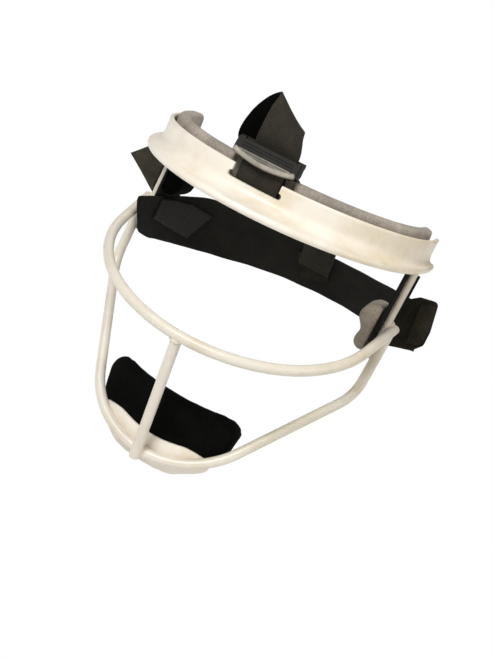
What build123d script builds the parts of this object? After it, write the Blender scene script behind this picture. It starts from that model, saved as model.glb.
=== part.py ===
from build123d import *
import os
from math import asin, cos, degrees, radians, sin

# Fastpitch fielder's face mask. Millimetres and degrees.
# +X is the wearer's left, -Y is the way the wearer looks, +Z is up.
# The origin is the middle of the wearer's head, level with the ears.

# Steel wire guard
WIRE_D = 6.35  # round wire of the eye bar, the jaw bar and the centre bar
ROD_D = 4.8  # round rod that carries the forehead plate
WELD_BITE = 0.4  # how far a coped end runs into its neighbour before it is trimmed

# Eye bar: a flat U, level at the eyes and rising to the temples
EYE_FRONT_Y = -108.0
EYE_FRONT_Z = 4.2
EYE_SLOPE = 18.2
EYE_FRONT_R = 93.8
EYE_FRONT_HALF = 28.9
EYE_CORNER_R = 82.8
EYE_SPLAY = 9.1
EYE_LEG = 37.8

# Jaw bar: a flat V with a round chin, bent up at the temples to meet the eye bar
CHIN_Y = -88.1
CHIN_Z = -79.9
CHIN_R = 59.0
JAW_SLOPE = 46.3
JAW_HALF = 30.0
JAW_LEG = 81.1
JAW_BEND_R = 27.0
JAW_TO_EYE_END = 8.0  # how far ahead of the eye bar's end the jaw bar meets it

# Centre bar: between the eyes and the chin
CENTRE_TOP_BACK = 1.5  # its top axis stands this far behind the eye bar's axis
CENTRE_LAP = 4.6  # its lower axis passes this far ahead of the chin wire's axis
CENTRE_TAIL = 3.5  # how far it runs on below the chin wire

# Side rods: the foot hangs below the eye bar's end, the top sits in the plate
ROD_FOOT_IN = 5.15  # the foot's axis inwards of the eye bar's end
ROD_FOOT_AHEAD = 6.4  # ahead of it
ROD_FOOT_BELOW = 22.05  # and below it
ROD_TOP_IN = 3.3  # the top's axis inwards of the plate's outer face
ROD_TOP_Y = -0.6
ROD_SEAT = 10.0  # depth of the rod in the plate's socket

# Forehead plate: moulded wall with a visor brim and a rolled lip
PLATE_R = 90.7
PLATE_Y = -2.4
PLATE_TOP = 98.1
PLATE_HALF = 93.8
WALL = 2.5
LIP_D = 4.4
LIP_DROP = 17.2  # from the top edge to the lip's centre
BRIM_FRONT = 13.8  # from the wall's face to the lip's centre, at the front
BRIM_SIDE = 2.6  # the same, at the temples
COVE = 7.0
NOTCH_W = 28.5
NOTCH_DEPTH = 7.6
NOTCH_RELIEF_D = 3.4
BOSS_D = 8.0
BOSS_STEP = 0.5

# Strap bar behind the notch
BAR_D = 3.0
BAR_BELOW = 12.1  # from the plate's top edge to the bar's centre
BAR_BEHIND = 5.4  # from the wall's inner face to the bar's centre
CHEEK_T = 2.6

# Forehead pad and the hook tape it sticks to
TAPE_T = 1.2
TAPE_W = 12.0
TAPE_HALF = 78.0
TAPE_CLEAR = 1.5
PAD_T = 9.4
PAD_STAND = 5.0  # how far the pad stands above the plate's top edge
PAD_FOOT = 1.6  # its lower edge above the lip's centre
PAD_ROUND = 3.4
PAD_SHORT = 1.2  # degrees that the pad stops before each end of the plate

# Chin cup and chin pad
CUP_T = 2.4
CUP_GAP = 0.1
CUP_HALF = 39.5
CUP_TOP = -69.5
CUP_FOOT = -90.5
CUP_EAR = 3.2  # how much higher the cup's edges lie towards its ends
CUP_UP_LEAN = 6.0
CUP_DOWN_LEAN = 20.0
CUP_KNEE_R = 9.0
CHIN_PAD_R = 78.0
CHIN_PAD_T = 11.5
CHIN_PAD_HALF = 47.5
CHIN_PAD_TOP = -42.0
CHIN_PAD_H = 41.0
CHIN_PAD_END_H = 29.0
CHIN_PAD_CORNER_R = 11.0

# Temple pads: a stiff backing clipped to the side rod, with foam on its inner face
BACKING_T = 2.0
BACKING_W = 15.0
BACKING_SHIFT = 0.5
BACKING_FOOT = 17.5
BACKING_TOP = 74.5
CLIP_FOOT = 46.0
CLIP_T = 1.5
SLEEVE_GAP = 0.15
TEMPLE_GAP = 0.4
TEMPLE_PAD_W = 22.0
TEMPLE_PAD_Y = -2.5
TEMPLE_PAD_FOOT = 18.2
TEMPLE_FLIP_TOP = 76.6

# Straps
WEB_T = 1.6
WEB_W = 25.0
BAND_T = 2.0
END_T = 3.0
STITCH_GAP = 0.05  # between a sewn patch and the webbing under it
KEEPER_T = 2.4
HOOK_TAB_T = 1.4
PATCH_T = 2.2

# Rear strap's edges. Its free flap is placed inwards of the right rod's foot, its far side
# outwards of the left rod's foot, and the part between them about the head.
FLAP_LOWER = [(6.1, -20, 17.0), (6.3, -8, 13.0), (7.7, 4, 11.4), (13.4, 20, 9.5)]
FLAP_UPPER = [(6.1, -37, 44.0), (6.3, -18, 43.0), (7.5, -4, 42.5), (13.4, 13, 42.0)]
BACK_LOWER = [
    (-60, 39, 9.0), (-43, 58, 8.6), (-24, 77, 8.5), (-3, 91, 8.5), (32, 97, 9.0), (66, 93, 9.0),
]
BACK_UPPER = [
    (-61, 31, 41.5), (-45, 48, 41.5), (-26, 64, 41.5), (-4, 76, 41.5), (30, 82, 41.5), (62, 79, 42.0),
]
FAR_LOWER = [(9.1, 80, 10.0), (17.1, 62, 13.0), (19.1, 40, 20.0), (18.6, 13.1, 29.5)]
FAR_UPPER = [(5.1, 70, 44.0), (15.1, 56, 46.5), (18.1, 38, 50.5), (18.1, 13.1, 54.0)]
FLAP_CORNER_R = 4.0

# The doubled end behind the left rod and the hook patch on its front: outlines outwards of
# the rod's foot and upwards, and the fronts of both
END_OUTLINE = [(0.6, 21.0), (19.6, 26.9), (24.7, 33.5), (24.4, 43.0), (20.3, 62.3), (8.5, 59.9), (0.6, 53.6)]
END_CORNER_R = 3.0
END_FRONT_Y = 10.2
PATCH_OUTLINE = [
    (14.0, 30.4), (21.7, 32.3), (23.4, 36.5), (23.5, 43.5), (20.7, 58.0), (19.3, 59.6), (10.8, 57.0),
]
PATCH_CORNER_R = 1.2

# The loose tail, outwards of the right rod's foot
TAIL_LOWER = [(-9.7, 14.5, 24), (0.1, 13.0, 30.5), (12.1, 11.0, 38.5), (24.1, 10.2, 47.0), (36.3, 10, 55.0)]
TAIL_UPPER = [(-10.5, 12.8, 41), (-2.4, 12.4, 52.0), (3.6, 11.4, 59.5), (10.1, 10.6, 67.0), (17.9, 10.4, 72.2)]

# Patches cut out of the band: middle, turn and size of the cut
KEEPER_CUT = ((12, 84, 28), (0, -22, 0), (23, 40, 22))
HOOK_TAB_CUT = ((16.9, 8, 33), (-17, 0, 0), (40, 42, 22))

# Top strap's fold: each edge by its place across, behind the strap bar and above the plate's top
FOLD_ONE = [
    (-10.6, -1.0, 11.6), (-10.4, -1.5, 14.9), (-10.2, -2.6, 18.0), (-9.9, -3.2, 21.0), (-9.3, -2.4, 32.9),
    (-8.8, 1.6, 40.9), (-13.5, 5.0, 36.4), (-19.6, 7.0, 25.9), (-21.5, 9.1, 13.9), (-17.5, 11.4, 7.5),
    (-12.8, 17.0, 4.3), (-11.5, 30.0, -0.9),
]
FOLD_OTHER = [
    (15.2, -1.0, 11.6), (15.2, -1.5, 14.6), (15.2, -2.6, 17.2), (14.8, -3.0, 19.6), (13.4, -2.2, 24.6),
    (12.0, 1.6, 28.3), (9.6, 4.6, 25.5), (4.6, 7.0, 19.3), (3.4, 9.1, 11.5), (7.2, 11.4, 6.5),
    (12.2, 17.0, 3.7), (13.5, 30.0, -0.9),
]

# Top strap's run: the left edge, the first point behind the strap bar
RUN_AHEAD = (-12.0, 20.0, -4.5)
RUN_LEFT = [(-9.8, -30, 87.5), (-5.0, 14, 78.0), (-1.5, 48, 64.0), (0.5, 68.5, 50.0)]

# Ladder lock
LOCK_W = 38.0
LOCK_RAIL = 3.2
LOCK_T = 4.2
LOCK_BAR_D = 2.9
LOCK_H = 5.0
LOCK_TOP_T = 2.6
LOCK_TOP_BEHIND = 1.6  # the top bar stands behind the rails' middle
LOCK_LIP_DIP = 2.6
LOCK_LIP_D = 3.6
LOCK_LIP_AHEAD = 6.0
LOCK_LIP_BELOW = 0.6
TAB_T = 2.0  # ribbed thumb tab, from the lip up to the strap's slot
TAB_RISE = 5.5
TAB_TOP_AHEAD = 3.7
TAB_RIBS = 4
TAB_RIB_H = 0.8
TAB_RIB_PROUD = 0.4


def heading(angle):
    return (cos(radians(angle)), sin(radians(angle)))


EYE_PLANE = Plane(
    origin=(0, EYE_FRONT_Y, EYE_FRONT_Z),
    x_dir=(1, 0, 0),
    z_dir=(0, -sin(radians(EYE_SLOPE)), cos(radians(EYE_SLOPE))),
)
JAW_PLANE = Plane(
    origin=(0, CHIN_Y, CHIN_Z),
    x_dir=(1, 0, 0),
    z_dir=(0, -sin(radians(JAW_SLOPE)), cos(radians(JAW_SLOPE))),
)
PLATE_AXIS = Axis((0, PLATE_Y, 0), (0, 0, 1))


def mirrored_path(middle, right):
    """One wire: the middle edge, the edges of the right half, and their mirror images."""
    right = [edge.edge() for edge in right]
    left = [mirror(edge, about=Plane.YZ).edge() for edge in right]
    return Wire(left[::-1] + [middle.edge()] + right)


def eye_half():
    """Right half of the eye bar's path beyond its front arc."""
    corner_turn = 90 - EYE_SPLAY - EYE_FRONT_HALF
    front = CenterArc((0, EYE_FRONT_R), EYE_FRONT_R, 270 - EYE_FRONT_HALF, 2 * EYE_FRONT_HALF)
    corner = JernArc(front @ 1, front % 1, EYE_CORNER_R, corner_turn)
    leg = Line(corner @ 1, (corner @ 1) + (corner % 1) * EYE_LEG)
    return front, corner, leg


def eye_path():
    front, corner, leg = eye_half()
    return EYE_PLANE * mirrored_path(front, [corner, leg])


def eye_point(back):
    """A point of the right leg's axis, this far from its end."""
    leg = EYE_PLANE * eye_half()[2]
    return (leg @ 1) - (leg % 1) * back


def jaw_path():
    turn = 90 - JAW_HALF
    chin = CenterArc((0, CHIN_R), CHIN_R, 270 - turn, 2 * turn)
    knee = (chin @ 1) + (chin % 1) * JAW_LEG
    start = JAW_PLANE.from_local_coords(chin @ 1)
    top = eye_point(JAW_TO_EYE_END)
    side = FilletPolyline(start, JAW_PLANE.from_local_coords(knee), top, radius=JAW_BEND_R)
    return mirrored_path(JAW_PLANE * chin, side.edges())


def wire_solid(path, diameter):
    section = Plane(origin=path @ 0, z_dir=path % 0) * Circle(diameter / 2)
    return sweep(section, path=path)


def straight_rod(foot, top, diameter):
    axis = Vector(*top) - Vector(*foot)
    section = Plane(origin=foot, z_dir=axis) * Circle(diameter / 2)
    return extrude(section, amount=axis.length)


def make_guard():
    """Eye bar, jaw bar, centre bar and side rods, coped where they are welded."""
    eye = wire_solid(eye_path(), WIRE_D)
    jaw = wire_solid(jaw_path(), WIRE_D) - eye
    chin = Vector(0, CHIN_Y, CHIN_Z)
    top = Vector(0, EYE_FRONT_Y + CENTRE_TOP_BACK, EYE_FRONT_Z - WELD_BITE)
    foot = chin + Vector(0, -CENTRE_LAP, 0)
    foot += (foot - top).normalized() * CENTRE_TAIL
    centre = straight_rod(foot, top, WIRE_D) - eye - jaw
    centre = centre.solids().sort_by(SortBy.VOLUME)[-1]
    rod_left = side_rod(1) - eye - jaw
    rod_right = side_rod(-1) - eye - jaw
    return eye, jaw, centre, rod_left, rod_right


def lip_z():
    return PLATE_TOP - LIP_DROP


def rod_foot(side):
    end = eye_point(0)
    return Vector(side * (end.X - ROD_FOOT_IN), end.Y - ROD_FOOT_AHEAD, end.Z - ROD_FOOT_BELOW)


def rod_top(side):
    return Vector(side * (PLATE_R - ROD_TOP_IN), ROD_TOP_Y, lip_z() + ROD_SEAT)


def side_rod(side):
    return straight_rod(rod_foot(side), rod_top(side), ROD_D)


def brim_reach(angle):
    """From the wall's face to the lip's centre, at this angle from the front."""
    return BRIM_FRONT * cos(radians(angle)) ** 2 + BRIM_SIDE * sin(radians(angle)) ** 2


def plate_section(angle):
    """Wall, cove, brim and rolled lip, cut by a plane through the plate's axis."""
    reach = PLATE_R + brim_reach(angle)
    lip = lip_z()
    lip_r = LIP_D / 2
    inner = PLATE_R - WALL
    crown = PLATE_TOP - WALL / 2
    outline = [
        ThreePointArc((inner, crown), (PLATE_R - WALL / 2, PLATE_TOP), (PLATE_R, crown)),
        Line((PLATE_R, crown), (PLATE_R, lip + lip_r + COVE)),
        Bezier((PLATE_R, lip + lip_r + COVE), (PLATE_R, lip + lip_r), (reach, lip + lip_r)),
        ThreePointArc((reach, lip + lip_r), (reach + lip_r, lip), (reach, lip - lip_r)),
        Line((reach, lip - lip_r), (inner, lip - lip_r)),
        Line((inner, lip - lip_r), (inner, crown)),
    ]
    tangent = (-cos(radians(angle)), -sin(radians(angle)), 0)
    plane = Plane(
        origin=(0, PLATE_Y, 0), x_dir=(sin(radians(angle)), -cos(radians(angle)), 0), z_dir=tangent
    )
    return plane * make_face(outline)


def bar_centre():
    return PLATE_Y - (PLATE_R - WALL) + BAR_BEHIND, PLATE_TOP - BAR_BELOW


def make_plate():
    steps = 12
    angles = [PLATE_HALF * (2 * step / steps - 1) for step in range(steps + 1)]
    plate = loft([plate_section(angle) for angle in angles])
    wall_y = PLATE_Y - PLATE_R
    floor = PLATE_TOP - NOTCH_DEPTH
    notch = Pos(0, wall_y, floor + NOTCH_DEPTH) * Box(NOTCH_W, 12, 2 * NOTCH_DEPTH)
    relief_x = NOTCH_W / 2 + 0.2
    for side in (-1, 1):
        relief = Pos(side * relief_x, wall_y, floor + NOTCH_RELIEF_D / 2) * Rot(90, 0, 0)
        notch += relief * Cylinder(NOTCH_RELIEF_D / 2, 12)
    plate -= notch
    y, z = bar_centre()
    bar = Pos(0, y, z) * Rot(0, 90, 0) * Cylinder(BAR_D / 2, NOTCH_W + 2 * CHEEK_T)
    inside = Pos(0, PLATE_Y, z) * Cylinder(PLATE_R - WALL / 2, 40)
    for side in (-1, 1):
        cheek_depth = BAR_BEHIND + 4
        cheek = Pos(side * (NOTCH_W + CHEEK_T) / 2, y + BAR_D / 2 + 1 - cheek_depth / 2, z)
        bar += (cheek * Box(CHEEK_T, cheek_depth, BAR_D + 2.4)) & inside
        boss_z = lip_z() - LIP_D / 2 + BOSS_STEP
        boss_h = ROD_SEAT + LIP_D / 2 + 2
        boss = Pos(rod_top(side).X, ROD_TOP_Y, boss_z + boss_h / 2) * Cylinder(BOSS_D / 2, boss_h)
        shell = Pos(0, PLATE_Y, boss_z + boss_h / 2) * Cylinder(PLATE_R - BOSS_STEP, 2 * boss_h)
        plate += boss & shell
    plate += bar
    for side in (-1, 1):
        plate -= side_rod(side)
    return plate


def band_of_plate(outer, section, low, high, start, end):
    """A band bent round the plate's axis, between two angles from the front."""
    plane = Plane(origin=(outer, PLATE_Y, (low + high) / 2), x_dir=(1, 0, 0), z_dir=(0, -1, 0))
    turned = revolve(plane * section, PLATE_AXIS, revolution_arc=end - start)
    return Pos(0, PLATE_Y, 0) * Rot(0, 0, start - 90) * Pos(0, -PLATE_Y, 0) * turned


def make_forehead_pad():
    outer = PLATE_R - WALL - TAPE_T
    low = lip_z() + PAD_FOOT
    high = PLATE_TOP + PAD_STAND
    half = PLATE_HALF - PAD_SHORT
    section = Pos(-PAD_T / 2, 0) * RectangleRounded(PAD_T, high - low, PAD_ROUND)
    pad = band_of_plate(outer, section, low, high, -half, half)
    y, z = bar_centre()
    pocket_w = NOTCH_W + 2 * CHEEK_T + 2
    pocket_back = y + BAR_D / 2 + WEB_T + 1.4
    pocket = Box(pocket_w, 20, 2 * (high - low), align=(Align.CENTER, Align.MAX, Align.CENTER))
    pad -= Pos(0, pocket_back, high) * pocket
    for side in (-1, 1):
        boss = Pos(rod_top(side).X, ROD_TOP_Y, low) * Cylinder(BOSS_D / 2 + SLEEVE_GAP, 2 * (high - low))
        pad -= boss
    return pad.solids().sort_by(SortBy.VOLUME)[-1]


def make_tape():
    """Hook tape on the inside of the wall, one strip each side of the strap bar."""
    outer = PLATE_R - WALL
    middle = (lip_z() + PLATE_TOP) / 2
    gap = degrees(asin((NOTCH_W / 2 + CHEEK_T + TAPE_CLEAR) / outer))
    section = Pos(-TAPE_T / 2, 0) * Rectangle(TAPE_T, TAPE_W)
    strip = band_of_plate(outer, section, middle - TAPE_W / 2, middle + TAPE_W / 2, gap, TAPE_HALF)
    return Compound([strip.solid(), mirror(strip, about=Plane.YZ).solid()])


def make_chin_cup(jaw, centre):
    """Plastic shell behind the chin wire, turned about the wire's own centre."""
    reach = WIRE_D / 2 + CUP_GAP + CUP_T / 2
    knee = Vector(*heading(-JAW_SLOPE)) * reach
    top = knee + Vector(*heading(90 - JAW_SLOPE - CUP_UP_LEAN)) * (CUP_TOP - CUP_FOOT)
    foot = knee + Vector(*heading(270 - JAW_SLOPE + CUP_DOWN_LEAN)) * (CUP_TOP - CUP_FOOT)
    spine = FilletPolyline(top, knee, foot, radius=CUP_KNEE_R)
    wall = offset(spine, CUP_T / 2, side=Side.BOTH)
    profile = Plane(origin=JAW_PLANE.origin, x_dir=JAW_PLANE.y_dir, z_dir=JAW_PLANE.x_dir)
    axis = Axis(JAW_PLANE.from_local_coords((0, CHIN_R, 0)), JAW_PLANE.z_dir)
    half = revolve(profile * make_face(wall), axis, revolution_arc=90)
    middle = (CUP_TOP + CUP_FOOT) / 2
    edge = Spline(
        (0, CUP_TOP),
        (CUP_HALF * 0.72, CUP_TOP + CUP_EAR),
        (CUP_HALF, middle + CUP_EAR),
        (CUP_HALF * 0.70, CUP_FOOT + CUP_EAR * 1.6),
        (0, CUP_FOOT),
        tangents=[(1, 0), (-1, 0)],
    )
    outline = make_face([edge, Line((0, CUP_FOOT), (0, CUP_TOP))])
    outline += mirror(outline, about=Plane.YZ)
    window = extrude(Plane.XZ * outline, amount=200)
    cup = (half + mirror(half, about=Plane.YZ)) & window
    return (cup - jaw - centre).solids().sort_by(SortBy.VOLUME)[-1]


def make_chin_pad(cup, jaw):
    """Foam pad behind the cup, bent round the chin."""
    centre_y = CHIN_Y + WIRE_D / 2 + CUP_GAP + CUP_T - 0.5 + CHIN_PAD_R
    middle = CHIN_PAD_TOP - CHIN_PAD_H / 2
    ring = Cylinder(CHIN_PAD_R, 2 * CHIN_PAD_H) - Cylinder(CHIN_PAD_R - CHIN_PAD_T, 2 * CHIN_PAD_H)
    foot = CHIN_PAD_TOP - CHIN_PAD_H
    end_foot = CHIN_PAD_TOP - CHIN_PAD_END_H
    corners = [
        (CHIN_PAD_HALF, CHIN_PAD_TOP),
        (CHIN_PAD_HALF - 3, end_foot),
        (CHIN_PAD_HALF * 0.5, foot),
        (-CHIN_PAD_HALF * 0.5, foot),
        (3 - CHIN_PAD_HALF, end_foot),
        (-CHIN_PAD_HALF, CHIN_PAD_TOP),
    ]
    outline = make_face(FilletPolyline(*corners, radius=CHIN_PAD_CORNER_R, close=True))
    block = extrude(Plane.XZ * outline, amount=200)
    pad = (Pos(0, centre_y, middle) * ring) & block
    pad = pad.solids().sort_by(Axis.Y)[0]
    return (pad - cup - jaw).solids().sort_by(SortBy.VOLUME)[-1]


def rod_plane(side):
    """Plane across the side rod at its foot, x outwards and z up the rod."""
    foot = rod_foot(side)
    return Plane(origin=foot, x_dir=(side, 0, 0), z_dir=rod_top(side) - foot)


def make_temple_backing(side):
    """Stiff strip on the inner side of the rod, with a clip that goes round the rod's rear."""
    plane = rod_plane(side)
    inner = -(ROD_D / 2 + SLEEVE_GAP)
    strip = Pos(inner - BACKING_T / 2, side * BACKING_SHIFT, 0) * RectangleRounded(BACKING_T, BACKING_W, 0.9)
    length = BACKING_TOP - BACKING_FOOT
    backing = extrude(plane.offset(BACKING_FOOT - plane.origin.Z) * strip, amount=length)
    ring = Circle(-inner + CLIP_T) - Circle(-inner)
    rear = Pos(0, side * 10, 0) * Rectangle(40, 20)
    clip = extrude(plane.offset(CLIP_FOOT - plane.origin.Z) * (ring & rear), amount=BACKING_TOP - CLIP_FOOT)
    return backing + clip


def make_temple_pad(side, flipped):
    """Foam with two lobes on the inner face of the backing."""
    outer = rod_top(1).X - ROD_D / 2 - SLEEVE_GAP - BACKING_T - TEMPLE_GAP
    lobes = [
        (0, 0), (6.5, 0.4), (9.2, 5.2), (8.0, 11.6), (12.2, 18.0), (11.4, 26.0), (5.6, 30.4), (0, 30.4),
    ]
    edge = Spline(*lobes)
    face = make_face([edge, Line(lobes[-1], lobes[0])])
    middle_y = TEMPLE_PAD_Y
    if flipped:
        plane = Plane(origin=(side * outer, middle_y, TEMPLE_FLIP_TOP), x_dir=(-side, 0, 0), z_dir=(0, -side, 0))
    else:
        plane = Plane(origin=(side * outer, middle_y, TEMPLE_PAD_FOOT), x_dir=(-side, 0, 0), z_dir=(0, side, 0))
    pad = extrude(plane * face, amount=TEMPLE_PAD_W / 2, both=True)
    return pad


def ribbon(one_edge, other_edge, thickness):
    """Flat webbing between two edge curves, each a list of points."""
    surface = Face.make_surface_from_curves(Spline(*one_edge).edge(), Spline(*other_edge).edge())
    return thicken(surface, amount=thickness / 2, both=True)


def make_anchor():
    """Loop of webbing round the strap bar and round the lock's lower bar."""
    y, z = bar_centre()
    inner_r = BAR_D / 2 + 0.2
    length = lock_bar_z() - z
    inner = SlotCenterToCenter(length, 2 * inner_r, rotation=90)
    outer = SlotCenterToCenter(length, 2 * (inner_r + WEB_T), rotation=90)
    face = Plane.YZ * Pos(y, z + length / 2) * (outer - inner)
    return extrude(face, amount=WEB_W / 2, both=True)


def lock_bar_z():
    return PLATE_TOP + 7.4


def make_lock():
    """Ladder lock: rails, three bars and a lift lip that dips in the middle."""
    y, _ = bar_centre()
    z = lock_bar_z()
    rail_x = (LOCK_W - LOCK_RAIL) / 2
    lock = Pos(0, y, z) * Rot(0, 90, 0) * Cylinder(LOCK_BAR_D / 2, LOCK_W - LOCK_RAIL)
    for side in (-1, 1):
        rail = Box(LOCK_RAIL, LOCK_T, LOCK_H + LOCK_BAR_D, align=(Align.CENTER, Align.CENTER, Align.MIN))
        rail = fillet(rail.edges().filter_by(Axis.X), 1.6)
        lock += Pos(side * rail_x, y, z - LOCK_BAR_D / 2) * rail
    top_bar = Box(LOCK_W, LOCK_TOP_T, LOCK_BAR_D)
    lock += Pos(0, y + LOCK_TOP_BEHIND, z + LOCK_H) * fillet(top_bar.edges().filter_by(Axis.X), 1.0)
    lip_y = y - LOCK_LIP_AHEAD
    lip_z = z - LOCK_LIP_BELOW
    lip_path = ThreePointArc(
        (-LOCK_W / 2 + 1, lip_y, lip_z),
        (0, lip_y, lip_z - LOCK_LIP_DIP),
        (LOCK_W / 2 - 1, lip_y, lip_z),
    )
    section = Plane(origin=lip_path @ 0, z_dir=lip_path % 0) * Ellipse(LOCK_LIP_D / 2, 1.3)
    lock += sweep(section, path=lip_path)
    gusset = make_face(
        Polyline(
            (y - LOCK_T / 2 + 0.3, lip_z - 1),
            (lip_y, lip_z - 1),
            (y - TAB_TOP_AHEAD, z + TAB_RISE),
            (y - LOCK_T / 2 + 0.3, z + TAB_RISE),
            close=True,
        )
    )
    for side in (-1, 1):
        lock += Pos(side * rail_x, 0, 0) * extrude(Plane.YZ * gusset, amount=LOCK_RAIL / 2, both=True)
    return lock + make_thumb_tab(Vector(0, lip_y, lip_z - 1), Vector(0, y - TAB_TOP_AHEAD, z + TAB_RISE))


def make_thumb_tab(foot, top):
    """Sloping tab between the lock's rails, with fine ribs across its front."""
    up = top - foot
    plane = Plane(origin=foot, x_dir=(1, 0, 0), z_dir=up)
    tab = extrude(plane * Rectangle(LOCK_W - 1, TAB_T), amount=up.length)
    pitch = up.length / (TAB_RIBS + 1)
    for rib in range(1, TAB_RIBS + 1):
        face = plane.offset(rib * pitch) * Pos(0, -TAB_T / 2) * Rectangle(LOCK_W - 8, 2 * TAB_RIB_PROUD)
        tab += extrude(face, amount=TAB_RIB_H / 2, both=True)
    return tab


def make_top_fold():
    """Top strap from the lock up to its fold, over, and down behind the pad."""
    y, _ = bar_centre()
    place = Pos(0, y, PLATE_TOP)
    one = [place.position + Vector(*point) for point in FOLD_ONE]
    other = [place.position + Vector(*point) for point in FOLD_OTHER]
    return ribbon(one, other, WEB_T)


def make_top_run():
    """Top strap from under its fold, back over the crown to the keeper."""
    y, _ = bar_centre()
    start = Vector(0, y, PLATE_TOP) + Vector(*RUN_AHEAD)
    left = [start] + [Vector(*point) for point in RUN_LEFT]
    right = [point + Vector(WEB_W, 0, 0) for point in left]
    return ribbon(left, right, WEB_T)


def beside_rod(side, points):
    """Points given by their place from a side rod's foot, moved to it."""
    foot_x = rod_foot(side).X
    return [Vector(foot_x + x, y, z) for x, y, z in points]


def band_edge(flap, back, far):
    """One edge of the rear strap, from its flap round the head to its far side."""
    return beside_rod(-1, flap) + [Vector(*point) for point in back] + beside_rod(1, far)


def band_edges():
    lower = band_edge(FLAP_LOWER, BACK_LOWER, FAR_LOWER)
    upper = band_edge(FLAP_UPPER, BACK_UPPER, FAR_UPPER)
    return lower, upper


def make_rear_strap():
    """Elastic band: free end inside the right wires, round the back, outside the left rod."""
    band = ribbon(*band_edges(), BAND_T)
    corners = band.edges().filter_by(lambda edge: edge.length < 1.2 * BAND_T).sort_by(Axis.Y)[:2]
    return fillet(corners, FLAP_CORNER_R)


def lining(edges, web, patch, cut):
    """A patch that follows one face of the webbing inside a box; a negative patch lies outside."""
    surface = Face.make_surface_from_curves(Spline(*edges[0]).edge(), Spline(*edges[1]).edge())
    side = 1 if patch > 0 else -1
    near = side * (web / 2 + STITCH_GAP)
    shell = thicken(surface, amount=near + patch) - thicken(surface, amount=near)
    middle, turn, size = cut
    box = Pos(*middle) * Rot(*turn) * Box(*size)
    return (shell & box).solids().sort_by(SortBy.VOLUME)[-1]


def make_keeper():
    """Webbing tab on the band's inner face that holds the top strap."""
    return lining(band_edges(), BAND_T, KEEPER_T, KEEPER_CUT)


def make_hook_tab():
    """Hook strip lying aslant on the band's inner face by the right temple."""
    (x, y, z), turn, size = HOOK_TAB_CUT
    return lining(band_edges(), BAND_T, HOOK_TAB_T, ((rod_foot(-1).X + x, y, z), turn, size))


def upright_block(outline, corner_r, front_y, thickness):
    """A flat piece behind the left rod: an outline in width and height, from its front backwards."""
    foot_x = rod_foot(1).X
    corners = [(foot_x + x, z) for x, z in outline]
    face = make_face(FilletPolyline(*corners, radius=corner_r, close=True))
    return extrude(Plane.XZ.offset(-front_y) * face, amount=-thickness)


def make_strap_end():
    """Doubled end of the band, folded over behind the left rod."""
    return upright_block(END_OUTLINE, END_CORNER_R, END_FRONT_Y, END_T)


def make_hook_patch():
    """Hook patch on the front of the doubled end."""
    front = END_FRONT_Y - STITCH_GAP - PATCH_T
    return upright_block(PATCH_OUTLINE, PATCH_CORNER_R, front, PATCH_T)


def make_tail():
    """Loose tail of the band, outside the right rod."""
    foot_x = rod_foot(-1).X
    lower = [Vector(foot_x - x, y, z) for x, y, z in TAIL_LOWER]
    upper = [Vector(foot_x - x, y, z) for x, y, z in TAIL_UPPER]
    return ribbon(lower, upper, WEB_T)


os.makedirs("parts", exist_ok=True)
eye_bar, jaw_bar, centre_bar, side_rod_left, side_rod_right = make_guard()
chin_cup = make_chin_cup(jaw_bar, centre_bar)
nodes = {
    "eye_bar": eye_bar,
    "jaw_bar": jaw_bar,
    "centre_bar": centre_bar,
    "side_rod_left": side_rod_left,
    "side_rod_right": side_rod_right,
    "forehead_plate": make_plate(),
    "forehead_hook_tape": make_tape(),
    "forehead_pad": make_forehead_pad(),
    "chin_cup": chin_cup,
    "chin_pad": make_chin_pad(chin_cup, jaw_bar),
    "anchor_loop": make_anchor(),
    "ladder_lock": make_lock(),
    "top_strap_fold": make_top_fold(),
    "top_strap_run": make_top_run(),
    "rear_strap": make_rear_strap(),
    "strap_keeper": make_keeper(),
    "hook_tab": make_hook_tab(),
    "strap_end": make_strap_end(),
    "hook_patch": make_hook_patch(),
    "strap_tail": make_tail(),
    "temple_backing_left": make_temple_backing(1),
    "temple_backing_right": make_temple_backing(-1),
    "temple_pad_left": make_temple_pad(1, False),
    "temple_pad_right": make_temple_pad(-1, True),
}
for name, shape in nodes.items():
    export_step(shape, f"parts/{name}.step")
    print(name, round(shape.volume, 1), len(shape.solids()), shape.is_valid)
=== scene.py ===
from math import cos, pi, radians, sin

import bmesh
import bpy
from bpy.props import FloatProperty, FloatVectorProperty, PointerProperty
from mathutils import Matrix, Vector, noise


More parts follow.
